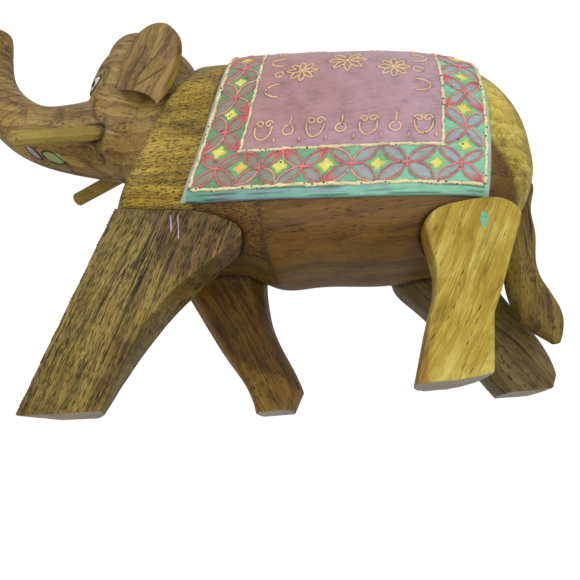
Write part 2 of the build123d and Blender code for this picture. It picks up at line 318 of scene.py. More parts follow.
def wood(
    name, grain, tones, second=None, rings=0.5, pores=0.5, streaks=0.4, stains=0.3, shift=0.0, short=1.0
):
    """Mango wood under satin lacquer.

    grain is the way the fibres run. tones are its dark, middle and light colours, and second is the same
    three for the parts that the piece's own "second" attribute marks. rings, pores, streaks and stains are
    how strongly each shows. shift moves the pattern, so that no two blocks share one. The more short is, the
    shorter are the pores.
    """
    material, tree = new_material(name)
    place = along_grain(tree, grain, shift)
    fibre = cloud(tree, stretched(tree, place, 1500.0, 70.0), detail=4.0, rough=0.65)
    broad = cloud(tree, stretched(tree, place, 90.0, 16.0), detail=4.0, rough=0.6)
    patch = cloud(tree, place, 45.0, detail=5.0, rough=0.65)
    tone = times(tree, broad, 0.95)
    tone = plus(tree, tone, times(tree, growth_rings(tree, place), 0.22 * rings))
    tone = plus(tree, tone, times(tree, fibre, 0.75))
    tone = plus(tree, tone, times(tree, patch, 0.50))
    tone = minus(tree, tone, 0.72)
    levels = (0.16, 0.45, 0.76)
    colour = ramp(tree, tone, list(zip(levels, tones)))
    if second:
        ragged = times(tree, minus(tree, patch, 0.5), 0.9)
        edge = plus(tree, attribute(tree, "second"), ragged)
        colour = mix(tree, step(tree, edge, 0.25, 0.75), colour, ramp(tree, tone, list(zip(levels, second))))

    deep = tuple(c * 0.20 for c in tones[0][:3]) + (1,)
    thin = dark_streaks(tree, place)
    colour = mix(tree, times(tree, thin, streaks), colour, deep)
    dash = pore_dashes(tree, place, pores, short)
    colour = mix(tree, times(tree, dash, 0.80), colour, deep)

    smudge = cloud(tree, place, 60.0, detail=6.0, rough=0.7, distort=0.8)
    stain = times(tree, step(tree, smudge, 0.52, 0.72), stains)
    colour = mix(tree, stain, colour, tuple(c * 0.35 for c in tones[0][:3]) + (1,))
    # Darker where the grime attribute is high: along joints, in hollows and grooves, and in the bands where a
    # piece paints shade.
    broken = plus(tree, 0.35, times(tree, smudge, 1.2))
    broken = times(tree, attribute(tree, "grime_and_shade"), broken, clamp=True)
    colour = mix(tree, broken, colour, (0.024, 0.012, 0.006, 1))
    rubbed = times(tree, attribute(tree, "worn"), step(tree, patch, 0.35, 0.65), clamp=True)
    pale = tuple(min(1.0, c * 1.5) for c in tones[2][:3]) + (1,)
    colour = mix(tree, times(tree, rubbed, 0.4), colour, pale)
    colour = mix(tree, attribute(tree, "bare"), colour, mix(tree, patch, *BARE_WOOD))

    rough = plus(tree, 0.40, times(tree, fibre, 0.20))
    rough = plus(tree, rough, times(tree, dash, 0.25), clamp=True)
    height = minus(tree, times(tree, fibre, 0.5), dash)
    height = minus(tree, height, times(tree, thin, 0.5))
    finish_material(tree, colour, rough, height, 0.14, coat=0.06, specular=0.28)
    return material


def paint(name, field=None, tint=None, fleck=0.3, brushed=(160.0, 500.0), wash=None):
    """Hand-brushed craft paint on gesso.

    field names a colour attribute, or tint gives one colour. fleck is how much dark dirt and chipping shows.
    brushed is how fine the brush marks are along and across X, and wash is a second colour in tide marks.
    """
    material, tree = new_material(name)
    place = node(tree, "ShaderNodeTexCoord").outputs["Object"]
    if field:
        colour = node(tree, "ShaderNodeAttribute", attribute_name=field).outputs["Color"]
    else:
        colour = tint
    stroke = cloud(tree, stretched(tree, place, brushed[1], brushed[0]), detail=4.0, rough=0.6)
    tide = cloud(tree, place, 120.0, detail=4.0, rough=0.6)
    light = plus(tree, times(tree, stroke, 0.55), times(tree, tide, 0.65))
    shade = ramp(tree, light, [(0.30, [0.60] * 3), (0.60, [1.0] * 3), (0.85, [1.22] * 3)])
    colour = mix(tree, 1.0, colour, shade, "MULTIPLY")
    if wash:
        colour = mix(tree, step(tree, tide, 0.50, 0.66), colour, wash)
    height = times(tree, stroke, 0.7)
    if fleck:
        settings = {"Vector": place, "Scale": 620.0, "Randomness": 1.0}
        spots = node(tree, "ShaderNodeTexVoronoi", settings, feature="F1")
        lot = node(tree, "ShaderNodeSeparateColor", {0: spots.outputs["Color"]}).outputs[1]
        chosen = step(tree, lot, 1.0 - 0.30 * fleck, 1.0 - 0.24 * fleck)
        chip = times(tree, step(tree, spots.outputs["Distance"], 0.42, 0.22), chosen)
        dirt = cloud(tree, place, 330.0, detail=5.0, rough=0.7)
        dirt = step(tree, dirt, 0.72 - 0.10 * fleck, 0.80 - 0.10 * fleck)
        chip = math_node(tree, "MAXIMUM", chip, times(tree, dirt, 0.8))
        colour = mix(tree, chip, colour, (0.045, 0.030, 0.020, 1))
        height = minus(tree, height, chip)
    # Darker where the grime attribute is high; on the blanket's ground that is the painted shadow of the
    # raised lines, and dirt.
    grime_and_shade = times(tree, attribute(tree, "grime_and_shade"), 0.8, clamp=True)
    colour = mix(tree, grime_and_shade, colour, (0.05, 0.035, 0.022, 1))
    rough = plus(tree, 0.42, times(tree, stroke, 0.25))
    finish_material(tree, colour, rough, height, 0.10, coat=0.10)
    return material


# --- meshes ---------------------------------------------------------------------------------------


def read_places(mesh):
    """Vertex places of a mesh, one row each."""
    places = np.empty(len(mesh.vertices) * 3)
    mesh.vertices.foreach_get("co", places)
    return places.reshape(-1, 3)


def read_pairs(mesh):
    """The two vertices of each edge."""
    pairs = np.empty(len(mesh.edges) * 2, dtype=np.int64)
    mesh.edges.foreach_get("vertices", pairs)
    return pairs.reshape(-1, 2)


def neighbour_mean(values, pairs):
    """Mean of each vertex's neighbours, for one value or three per vertex."""
    count = len(values)
    ends = np.concatenate([pairs[:, 0], pairs[:, 1]])
    others = np.concatenate([pairs[:, 1], pairs[:, 0]])
    number = np.maximum(np.bincount(ends, minlength=count), 1)
    if values.ndim == 1:
        return np.bincount(ends, values[others], count) / number
    return np.stack([np.bincount(ends, values[others, i], count) / number for i in range(3)], 1)


def smoothed(values, pairs, rounds, share=0.5):
    """Values drawn towards those of their neighbours."""
    for _ in range(rounds):
        values = values + share * (neighbour_mean(values, pairs) - values)
    return values


def surface_of(names):
    """A tree for finding the nearest place on some CAD nodes, or where a ray meets them."""
    places, faces = [], []
    for name in names:
        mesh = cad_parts[name].data
        start = len(places)
        places.extend(v.co.copy() for v in mesh.vertices)
        faces.extend([start + i for i in f.vertices] for f in mesh.polygons)
    return BVHTree.FromPolygons(places, faces)


def remeshed(names, voxel):
    """One evenly meshed copy of one or more CAD nodes."""
    joined = bmesh.new()
    for name in names:
        joined.from_mesh(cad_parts[name].data)
    mesh = bpy.data.meshes.new("source")
    joined.to_mesh(mesh)
    joined.free()
    source = link(bpy.data.objects.new("source", mesh))
    change = source.modifiers.new("even", "REMESH")
    change.mode = "VOXEL"
    change.voxel_size = voxel
    change.adaptivity = 0.0
    shaped = source.evaluated_get(bpy.context.evaluated_depsgraph_get())
    made = bpy.data.meshes.new_from_object(shaped)
    bpy.data.objects.remove(source)
    bpy.data.meshes.remove(mesh)
    return made


def set_attribute(mesh, name, values):
    """Stores one number per vertex."""
    layer = mesh.attributes.new(name, "FLOAT", "POINT")
    layer.data.foreach_set("value", np.ascontiguousarray(values, dtype=np.float32))


def set_colours(mesh, name, colours):
    """Stores one colour per vertex."""
    layer = mesh.attributes.new(name, "FLOAT_COLOR", "POINT")
    full = np.ones((len(colours), 4), dtype=np.float32)
    full[:, :3] = colours
    layer.data.foreach_set("color", full.ravel())


def add_piece(name, mesh, material, replaced=()):
    """Makes an object that rides on the body and takes the given material."""
    mesh.name = name
    mesh.materials.clear()
    mesh.materials.append(material)
    mesh.polygons.foreach_set("use_smooth", np.ones(len(mesh.polygons), dtype=bool))
    mesh.update()
    piece = link(bpy.data.objects.new(name, mesh))
    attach(piece, "root")
    if replaced:
        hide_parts(*replaced)
    return piece


def unevenness(places, scale, seed=0.0):
    """Smooth noise, about -1 to 1, at places given as rows."""
    shifted = places * scale + seed
    return np.array([noise.noise(p) for p in shifted])


def band_at(distance, width):
    """1 on a line and fading to 0 at width either side of it."""
    return np.clip(1 - np.abs(distance) / width, 0, 1) ** 1.5


def ease(values, low, high):
    """0 below low and 1 above high, smooth between."""
    t = np.clip((values - low) / (high - low), 0, 1)
    return t * t * (3 - 2 * t)


# --- carved wood ----------------------------------------------------------------------------------

WOODEN = (
    "torso_block", "shoulder_block", "head_and_trunk", "leg_front_left", "leg_front_right", "leg_hind_left",
    "leg_hind_right", "tail", "ear_left", "ear_right", "tusk_left", "tusk_right",
)


def tool_marks(places, grain, length, width, seed):
    """From 0 in the middle of each shallow scoop left by a chisel or rasp to 1 on the ridges between them."""
    along = Vector(grain).normalized()
    across = along.cross(Vector((0, 1, 0))).normalized()
    beside = across.cross(along)
    axes = np.array([along / length, beside / width, across / width])
    cells = places @ axes.T + seed
    return np.array([min(1.0, noise.voronoi(cell)[0][0] ** 2) for cell in cells])


def carve_mesh(names, voxel, soften, grain, marks, wave, shape, grime_and_shade, second, joint_dirt):
    """CAD blocks as one carved mesh, with attributes for darkening, wear and the second tones."""
    mesh = remeshed(names, voxel * MM)
    places = read_places(mesh)
    pairs = read_pairs(mesh)
    own = surface_of(names)
    others = surface_of([name for name in WOODEN if name not in names])
    apart = np.array([others.find_nearest(p)[3] for p in places]) / MM
    exact = np.array([own.find_nearest(p)[0] for p in places])
    softened = smoothed(exact, pairs, soften)
    mesh.vertices.foreach_set("co", softened.ravel())
    mesh.update()
    normals = np.empty(len(places) * 3)
    mesh.vertex_normals.foreach_get("vector", normals)
    normals = normals.reshape(-1, 3)

    seed = float(len(names[0])) * 3.7
    scoops = tool_marks(softened, grain, marks[0] * MM, marks[1] * MM, seed)
    cut = (scoops - 1.0) * marks[2] + unevenness(softened, 60.0, seed) * wave - wave
    if shape:
        cut = cut - shape(softened / MM)
    carved = softened + normals * (cut * MM)[:, None]
    free = ease(apart, 0.5, 4.0)[:, None]
    places = exact * (1 - free) + carved * free
    mesh.vertices.foreach_set("co", places.ravel())

    bulge = np.einsum("ij,ij->i", normals, places - neighbour_mean(places, pairs)) / (voxel * MM)
    bulge = smoothed(bulge, pairs, 2)
    # Darker in hollows, where the surface curves inward, and along the joints with other pieces.
    darkening = np.clip(-bulge * 5.0, 0, 1) * 0.7 + joint_dirt * (1 - ease(apart, 0.4, 3.2))
    if grime_and_shade:
        darkening = darkening + grime_and_shade(places / MM)
    set_attribute(mesh, "grime_and_shade", np.clip(darkening, 0, 1))
    set_attribute(mesh, "worn", np.clip(bulge * 6.0 - 0.2, 0, 1) * free[:, 0])
    set_attribute(mesh, "bare", ease(-normals[:, 2], 0.80, 0.93) * (places[:, 2] < 7 * MM))
    if second:
        set_attribute(mesh, "second", second(places / MM))
    return mesh


def carve(
    node_name, material, voxel=0.8, soften=4, grain=(1, 0, 0), marks=(16.0, 7.0, 0.16), wave=0.2,
    shape=None, grime_and_shade=None, second=None, joint_dirt=0.7,
):
    """A CAD block as carved wood: even mesh, softened edges, tool marks, darkening and wear.

    marks are the length, width and depth of the tool marks in millimetres, and wave is how uneven the
    surface is. shape, grime and second take the places in millimetres and give an inward cut in
    millimetres, how much darker each place is, and where the second tones show.
    """
    mesh = carve_mesh((node_name,), voxel, soften, grain, marks, wave, shape, grime_and_shade, second, joint_dirt)
    return add_piece(node_name + "_carved", mesh, material, (node_name,))


def part_off(mesh, at, keep_front):
    """The part of a mesh in front of or behind the upright plane at x, closed there."""
    cut = bmesh.new()
    cut.from_mesh(mesh)
    geometry = cut.verts[:] + cut.edges[:] + cut.faces[:]
    normal = (1, 0, 0) if keep_front else (-1, 0, 0)
    bmesh.ops.bisect_plane(cut, geom=geometry, plane_co=(at, 0, 0), plane_no=normal, clear_outer=True)
    rim = [edge for edge in cut.edges if edge.is_boundary]
    bmesh.ops.holes_fill(cut, edges=rim)
    part = bpy.data.meshes.new("part")
    cut.to_mesh(part)
    cut.free()
    return part


# --- saddle blanket -------------------------------------------------------------------------------

# The cut edges of the blanket, in millimetres: height and x of the front and rear edges, and x and
# height of the hem.
BLANKET_FRONT = ((93.5, -17.5), (107.3, -12.2), (131.5, -3.8), (156.0, 3.0), (193.0, 7.0))
BLANKET_REAR = ((80.5, 122.5), (100.0, 126.5), (120.0, 129.5), (160.0, 131.5), (193.0, 131.5))
BLANKET_HEM = ((-17.5, 93.5), (16.0, 89.5), (52.0, 86.0), (88.0, 83.2), (122.5, 80.5))
# The pattern is laid out in nominal millimetres: p runs from the front edge to the rear, and q from the
# left hem over the back, which is half way, to the right hem.
LENGTH = 140.0
GIRTH = 280.0
GESSO = 2.3
HEM_BEVEL = 5.2
SIDE_BEVEL = 2.3
OUTER_LINE = (3.4, 6.4)  # p and q from the edges
INNER_LINE = (22.9, 26.0)
# Where the cells of the border begin and end along p.
HEM_CELLS = (4.2, 25.3, 44.5, 66.0, 89.7, 115.2, 135.8)
SIDE_CELLS = 10  # border cells from one hem row over the back to the other
GRID_COLUMNS = 189
GRID_ROWS = 377

SAGE = rgb(102, 144, 103)
TURQUOISE_GREEN = rgb(130, 200, 167)
PETAL_LEFT = rgb(132, 138, 113)
PETAL_RIGHT = rgb(155, 176, 175)
PETAL_SHADE = rgb(176, 91, 103)
BLOTCH = rgb(214, 70, 78)
PINK = rgb(206, 116, 115)
CREAM = rgb(232, 220, 175)
HALO = rgb(128, 191, 69)
YELLOW_PAINT = rgb(226, 220, 112)
MAUVE_LEFT = rgb(168, 125, 128)
MAUVE_RIGHT = rgb(180, 146, 158)
GOLD_PAINT = rgb(233, 196, 144)
HEM_LEFT = rgb(108, 166, 145)
HEM_RIGHT = rgb(142, 210, 180)
# Lilac of the painted reflections on the hem.
REFLECTED_LILAC = rgb(142, 150, 182)
# The raised paints: colour, how much dirt shows, and a second colour brushed over.
RELIEF_PAINTS = {
    "cream": (CREAM, 1.3, rgb(214, 206, 160)),
    "pink": (PINK, 0.35, None),
    "pale": (rgb(228, 160, 146), 0.3, rgb(214, 136, 134)),
    "star": (rgb(230, 120, 122), 0.1, None),
    "yellow": (YELLOW_PAINT, 0.3, rgb(222, 176, 92)),
    "gold": (GOLD_PAINT, 0.4, None),
}
BLOTCHED_SHARE = 0.36  # of the petals
ALL_PINK_SHARE = 0.35  # of the petals
GESSO_SUNK = 0.7  # how far the gesso reaches into the wood
UNDER_STEP = 4  # grid steps between the places of its underside
# Flowers on the panel: p, q and petal length.
PANEL_FLOWERS = (
    (46.0, 76.0, 8.5),
    (70.0, 84.0, 10.5),
    (94.0, 76.0, 8.5),
    (52.0, 112.0, 8.0),
    (88.0, 112.0, 8.0),
)


def curve_through(points):
    """A smooth curve near the points."""
    across, up = zip(*points)
    return np.poly1d(np.polyfit(across, up, 2))


def blanket_base():
    """The wood under the blanket: a grid of places in millimetres, rows along q and columns along p."""
    body = surface_of(("torso_block", "shoulder_block"))
    front, rear, hem = (curve_through(c) for c in (BLANKET_FRONT, BLANKET_REAR, BLANKET_HEM))
    columns = []
    for share in np.linspace(0, 1, 110):
        line = []
        z = 95.0
        for angle in np.radians(np.linspace(-38, 90, 110)):
            inwards = Vector((0, math.cos(angle), -math.sin(angle)))
            for _ in range(3):
                x = front(z) + share * (rear(z) - front(z))
                hit = body.ray_cast(Vector((x * MM, 0, 0.112)) - inwards * 0.14, inwards)[0]
                z = hit.z / MM
            line.append(tuple(hit / MM))
        line = np.array(line)
        above = line[:, 2] - hem(line[:, 0])
        first = int(np.argmax(above > 0))
        back_by = above[first] / (above[first] - above[first - 1])
        line = np.vstack([line[first] + (line[first - 1] - line[first]) * back_by, line[first:]])
        run = np.concatenate([[0], np.cumsum(np.linalg.norm(np.diff(line, axis=0), axis=1))])
        at = np.linspace(0, run[-1], (GRID_ROWS + 1) // 2)
        columns.append(np.stack([np.interp(at, run, line[:, i]) for i in range(3)], 1))
    near = np.array(columns).transpose(1, 0, 2)
    near[-1, :, 1] = 0
    far = near[-2::-1] * (1, -1, 1)
    grid = np.concatenate([near, far])
    fine = np.linspace(0, grid.shape[1] - 1, GRID_COLUMNS)
    left = np.minimum(fine.astype(int), grid.shape[1] - 2)
    part = (fine - left)[None, :, None]
    grid = grid[:, left] * (1 - part) + grid[:, left + 1] * part
    for _ in range(14):
        grid = evened(grid)
    return grid


def evened(grid):
    """A grid with each place drawn half way to the mean of its neighbours, its edges kept."""
    wide = np.pad(grid, ((1, 1), (1, 1), (0, 0)), mode="reflect", reflect_type="odd")
    around = (wide[:-2, 1:-1] + wide[2:, 1:-1] + wide[1:-1, :-2] + wide[1:-1, 2:]) / 4
    return (grid + around) / 2


def grid_normals(grid):
    """Outward directions over a grid."""
    normals = np.cross(np.gradient(grid, axis=1), np.gradient(grid, axis=0))
    normals /= np.linalg.norm(normals, axis=2, keepdims=True)
    if normals[len(grid) // 2, 0, 2] < 0:
        normals = -normals
    return normals


def shell_faces(rows, columns, step):
    """Faces of a closed shell whose top has a grid of vertices and whose bottom has every step-th of them."""
    faces = []
    for i in range(rows - 1):
        for j in range(columns - 1):
            a = i * columns + j
            faces.append((a, a + 1, a + columns + 1, a + columns))
    start = rows * columns
    few_rows, few = (rows - 1) // step + 1, (columns - 1) // step + 1
    for i in range(few_rows - 1):
        for j in range(few - 1):
            a = start + i * few + j
            faces.append((a, a + few, a + few + 1, a + 1))
    for j in range(few - 1):
        low = [j * step + k for k in range(step, -1, -1)]
        faces.append((*low, start + j, start + j + 1))
        high = [(rows - 1) * columns + j * step + k for k in range(step + 1)]
        base = start + (few_rows - 1) * few + j
        faces.append((*high, base + 1, base))
    for i in range(few_rows - 1):
        low = [(i * step + k) * columns for k in range(step + 1)]
        faces.append((*low, start + (i + 1) * few, start + i * few))
        high = [(i * step + k) * columns + columns - 1 for k in range(step, -1, -1)]
        base = start + i * few + few - 1
        faces.append((*high, base, base + few))
    return faces


class Relief:
    """Beads and blobs of one paint, laid on the blanket."""

    def __init__(self, surface, normals):
        self.surface = surface
        self.normals = normals
        self.places = []
        self.faces = []
        self.path = []

    def on_surface(self, points):
        """Places and outward directions at points in pattern coordinates."""
        columns = np.clip(points[:, 0] / LENGTH * (GRID_COLUMNS - 1), 0, GRID_COLUMNS - 1.001)
        rows = np.clip(points[:, 1] / GIRTH * (GRID_ROWS - 1), 0, GRID_ROWS - 1.001)
        j, i = columns.astype(int), rows.astype(int)
        s, t = (columns - j)[:, None], (rows - i)[:, None]
        found = []
        for grid in (self.surface, self.normals):
            low = grid[i, j] * (1 - s) + grid[i, j + 1] * s
            high = grid[i + 1, j] * (1 - s) + grid[i + 1, j + 1] * s
            found.append(low * (1 - t) + high * t)
        return found[0], found[1] / np.linalg.norm(found[1], axis=1, keepdims=True)

    def bead(self, points, radius, rng, wobble=0.25, uneven=0.22):
        """A line squeezed from a cone along points, with an unsteady hand."""
        points = np.array(points, dtype=float)
        run = np.concatenate([[0], np.cumsum(np.linalg.norm(np.diff(points, axis=0), axis=1))])
        count = max(4, int(run[-1] / 0.8))
        at = np.linspace(0, run[-1], count)
        line = np.stack([np.interp(at, run, points[:, i]) for i in range(2)], 1)
        phase = rng.uniform(0, 100)
        sway = np.array([noise.noise_vector((a * 0.22, phase, 0)) for a in at])[:, :2]
        line = line + sway * wobble * 2
        self.path.append(line)
        centre, outward = self.on_surface(line)
        along = np.gradient(centre, axis=0)
        along /= np.maximum(np.linalg.norm(along, axis=1, keepdims=True), 1e-9)
        beside = np.cross(along, outward)
        thick = np.array([noise.noise((a * 0.5, phase, 7)) for a in at]) * uneven * 2 + 1
        thick *= np.minimum(1, 0.45 + np.minimum(at, run[-1] - at) / 1.2)
        start = sum(len(p) for p in self.places)
        ring = []
        for k in range(6):
            angle = 2 * math.pi * k / 6
            aside, lift = math.cos(angle) * radius, (math.sin(angle) * 0.75 + 0.1) * radius
            ring.append(centre + (beside * aside + outward * lift) * thick[:, None])
        self.places.append(np.stack(ring, 1).reshape(-1, 3))
        for i in range(count - 1):
            for k in range(6):
                a, b = start + i * 6 + k, start + i * 6 + (k + 1) % 6
                self.faces.append((a, a + 6, b + 6, b))
        self.faces.append(tuple(start + k for k in range(6)))
        self.faces.append(tuple(start + (count - 1) * 6 + k for k in range(5, -1, -1)))

    def blob(self, centre, radius, lobes, waist, height, rng, turn=0.0):
        """A lobed dab of paint, turned by turn radians."""
        turn = turn + rng.uniform(-0.25, 0.25)
        size = rng.uniform(0.85, 1.15, 20)
        start = sum(len(p) for p in self.places)
        angles = np.arange(20) * 2 * math.pi / 20
        reach = radius * (1 - waist + waist * np.cos(lobes * angles)) * (0.6 + 0.4 * size)
        rows = []
        for share, lift in ((1.0, -0.35), (0.92, 0.55 * height), (0.5, height)):
            ring = np.stack([np.cos(angles + turn), np.sin(angles + turn)], 1) * (reach * share)[:, None]
            place, outward = self.on_surface(np.array(centre) + ring)
            rows.append(place + outward * lift)
        middle, outward = self.on_surface(np.array([centre], dtype=float))
        self.places.append(np.vstack([*rows, middle + outward * height]))
        for ring in range(2):
            for k in range(20):
                a, b = start + ring * 20 + k, start + ring * 20 + (k + 1) % 20
                self.faces.append((a, b, b + 20, a + 20))
        for k in range(20):
            self.faces.append((start + 40 + k, start + 40 + (k + 1) % 20, start + 60))
        self.faces.append(tuple(start + k for k in range(19, -1, -1)))

    def make(self, name, material, slot="blanket_paint"):
        """The finished piece."""
        mesh = bpy.data.meshes.new(name)
        mesh.from_pydata((np.vstack(self.places) * MM).tolist(), [], self.faces)
        mesh.validate()
        add_piece(name, mesh, material)


class WoodRelief(Relief):
    """Beads and blobs laid on a carved piece, along straight rays from a flat pattern in front of it."""

    def __init__(self, piece, origin, across, up, toward):
        super().__init__(None, None)
        self.tree = BVHTree.FromPolygons(
            [v.co / MM for v in piece.data.vertices], [tuple(f.vertices) for f in piece.data.polygons]
        )
        self.origin, self.across, self.up = (np.array(v, dtype=float) for v in (origin, across, up))
        self.toward = Vector(toward).normalized()

    def on_surface(self, points):
        """Places and outward directions where the rays from points in the pattern meet the wood."""
        places, outward = [], []
        for a, b in points:
            start = Vector(self.origin + a * self.across + b * self.up)
            place, normal = self.tree.ray_cast(start, self.toward)[:2]
            places.append(tuple(place))
            outward.append(tuple(normal))
        return np.array(places), np.array(outward)


def border_cells():
    """Left, right, low and high limits of each cell of the border, all the way round the blanket."""
    cells = []
    low, high = OUTER_LINE[1] + 0.7, INNER_LINE[1] - 0.7
    for left, right in zip(HEM_CELLS[:-1], HEM_CELLS[1:]):
        cells.append((left + 0.4, right - 0.4, low, high))
    step_up = (GIRTH / 2 - INNER_LINE[1]) * 2 / SIDE_CELLS
    near, far = OUTER_LINE[0] + 0.8, INNER_LINE[0] - 0.6
    for k in range(SIDE_CELLS // 2):
        low = INNER_LINE[1] + k * step_up
        for left, right in ((near, far), (LENGTH - far, LENGTH - near)):
            cells.append((left, right, low + 0.3, low + step_up - 0.3))
    both = []
    for left, right, low, high in cells:
        both.append((left, right, low, high))
        both.append((left, right, GIRTH - high, GIRTH - low))
    return both


def flower_spots():
    """Where the yellow dabs sit: between neighbouring cells."""
    spots = [(p, (OUTER_LINE[1] + INNER_LINE[1]) / 2) for p in HEM_CELLS[1:-1]]
    step_up = (GIRTH / 2 - INNER_LINE[1]) * 2 / SIDE_CELLS
    for k in range(SIDE_CELLS // 2 + 1):
        for p in ((OUTER_LINE[0] + INNER_LINE[0]) / 2, LENGTH - (OUTER_LINE[0] + INNER_LINE[0]) / 2):
            spots.append((p, INNER_LINE[1] + k * step_up))
    mirrored = [(p, GIRTH - q) for p, q in spots if q < GIRTH / 2 - 1]
    return spots + mirrored


def blend(low, high, share):
    """From one colour to another."""
    return np.array(low[:3]) * (1 - share) + np.array(high[:3]) * share


class Ground:
    """The blanket's painted ground: a colour for each place of its grid."""

    def __init__(self):
        self.p = np.linspace(0, LENGTH, GRID_COLUMNS)[None, :].repeat(GRID_ROWS, 0)
        self.q = np.linspace(0, GIRTH, GRID_ROWS)[:, None].repeat(GRID_COLUMNS, 1)
        self.fold = np.minimum(self.q, GIRTH - self.q)
        self.flat = np.stack([self.p.ravel(), self.q.ravel(), np.zeros(self.p.size)], 1)
        self.tide = self.uneven(0.09, 3.0)
        self.along = np.clip(ease(self.p, 10, 120) + self.tide * 0.25, 0, 1)[:, :, None]
        self.colours = blend(SAGE, TURQUOISE_GREEN, self.along)

    def uneven(self, scale, seed=0.0):
        """Smooth noise over the grid."""
        return unevenness(self.flat, scale, seed).reshape(self.p.shape)

    def wash(self, colour, share):
        """Paints over the ground. share is how much of the new colour covers each place."""
        share = np.asarray(share, dtype=float)[:, :, None]
        self.colours = self.colours * (1 - share) + np.array(colour)[..., :3] * share


def paint_petals(ground, reliefs, rng):
    """The four petals of each cell of the border, their raised outlines and the star in the middle."""
    petal_colour = blend(PETAL_LEFT, PETAL_RIGHT, ground.along)
    for left, right, low, high in border_cells():
        middle = ((left + right) / 2 + rng.uniform(-0.7, 0.7), (low + high) / 2 + rng.uniform(-0.6, 0.6))
        centre = np.array(middle)
        for corner in ((left, low), (right, low), (right, high), (left, high)):
            tip = np.array(corner) + rng.uniform(-0.5, 0.5, 2)
            ray = tip - centre
            reach = np.linalg.norm(ray)
            side = np.array([-ray[1], ray[0]]) / reach
            width = reach * rng.uniform(0.19, 0.225)
            from_p, from_q = ground.p - centre[0], ground.q - centre[1]
            run = (from_p * ray[0] + from_q * ray[1]) / reach**2
            off = np.abs(from_p * side[0] + from_q * side[1])
            edge = width * np.sin(np.pi * np.clip(run, 0, 1)) ** 0.85
            inside = (off < edge) & (run > 0) & (run < 1)
            ground.wash(petal_colour, inside)
            pinkness = 0.50 * (off / np.maximum(edge, 0.1)) ** 2 + 0.35 * rng.uniform(0, 1) * run
            ground.wash(PETAL_SHADE, np.clip(inside * pinkness, 0, 1))
            if rng.uniform() < BLOTCHED_SHARE:
                spread = (off < edge + 0.5) & (run > 0.45) & (run < 1.02)
                ground.wash(BLOTCH, spread * ease(run, 0.45, 0.85) * rng.uniform(0.6, 1.0))
            s = np.linspace(0.10, rng.uniform(0.93, 1.0), 24)
            bow = width * np.sin(np.pi * s) ** 0.85
            spine = centre + s[:, None] * ray
            kinds = ("pink", "pale") if rng.uniform() < 0.5 else ("pale", "pink")
            if rng.uniform() < ALL_PINK_SHARE:
                kinds = ("pink", "pink")
            for kind, sign in zip(kinds, (-1, 1)):
                outline = spine + sign * bow[:, None] * side
                reliefs[kind].bead(outline, rng.uniform(0.33, 0.46), rng, 0.3)
        reliefs["star"].blob(tuple(centre), rng.uniform(2.3, 2.9), 4, 0.38, 0.7, rng)


def lay_border_lines(relief, rng):
    """The raised double frame of cream lines."""
    for (dp, dq), radius, over in ((OUTER_LINE, 0.85, -1.0), (INNER_LINE, 0.72, 1.2)):
        for hem in (dq, GIRTH - dq):
            relief.bead([(dp - over, hem), (LENGTH - dp + over, hem)], radius, rng, 0.3, 0.35)
        for edge in (dp, LENGTH - dp):
            relief.bead([(edge, dq - over), (edge, GIRTH - dq + over)], radius, rng, 0.3, 0.35)


def paint_panel_and_edges(ground):
    """The mauve panel, the turquoise hem with its dark streaks, painted lilac reflections and a painted
    shadow line along its lower edge, and the paler front and rear edges.
    """
    p, fold = ground.p, ground.fold
    lilac = np.clip(ease(p, 20, 120) + 0.35 * (1 - ease(fold, 26, 44)) + ground.tide * 0.3, 0, 1)
    in_panel = (p > INNER_LINE[0]) & (p < LENGTH - INNER_LINE[0]) & (fold > INNER_LINE[1])
    ground.wash(blend(MAUVE_LEFT, MAUVE_RIGHT, lilac[:, :, None]), in_panel)
    strokes = np.array([noise.noise((a * 0.05, b * 0.9, 2.0)) for a, b, _ in ground.flat]).reshape(p.shape)
    band = (fold < OUTER_LINE[1] - 0.5) * 1.0
    ground.wash(blend(HEM_LEFT, HEM_RIGHT, ease(p, 10, 110)[:, :, None]), band)
    # Painted lilac reflections on the hem, strongest towards the front.
    ground.wash(REFLECTED_LILAC, band * ease(strokes, 0.02, 0.35) * (1 - 0.75 * ease(p, 40, 110)))
    ground.wash(rgb(40, 74, 66), band * ease(-strokes, 0.12, 0.42) * 0.8)
    # Painted shadow line along the lower edge of the hem.
    ground.wash(rgb(46, 62, 48), (1 - ease(fold, 0.1, 1.5)) * 0.75)
    ground.wash(rgb(176, 184, 172), (1 - ease(p, 2.2, 3.0)) * 0.9)
    ground.wash(rgb(178, 214, 196), (1 - ease(LENGTH - p, 2.6, 3.6)) * 0.9)


def shade_and_dirt_beside_lines(ground, reliefs):
    """How much darker the ground is painted close to the raised lines: the shadow of the relief, and dirt."""
    points = [point for relief in reliefs.values() for line in relief.path for point in line]
    tree = KDTree(len(points))
    for index, point in enumerate(points):
        tree.insert((point[0], point[1], 0), index)
    tree.balance()
    apart = np.array([tree.find(place)[2] for place in ground.flat]).reshape(ground.p.shape)
    blotchy = ground.uneven(0.35, 9.0)
    return (1 - ease(apart, 0.6, 1.5)) * (0.25 + 0.75 * ease(blotchy, -0.2, 0.5)) * 0.75


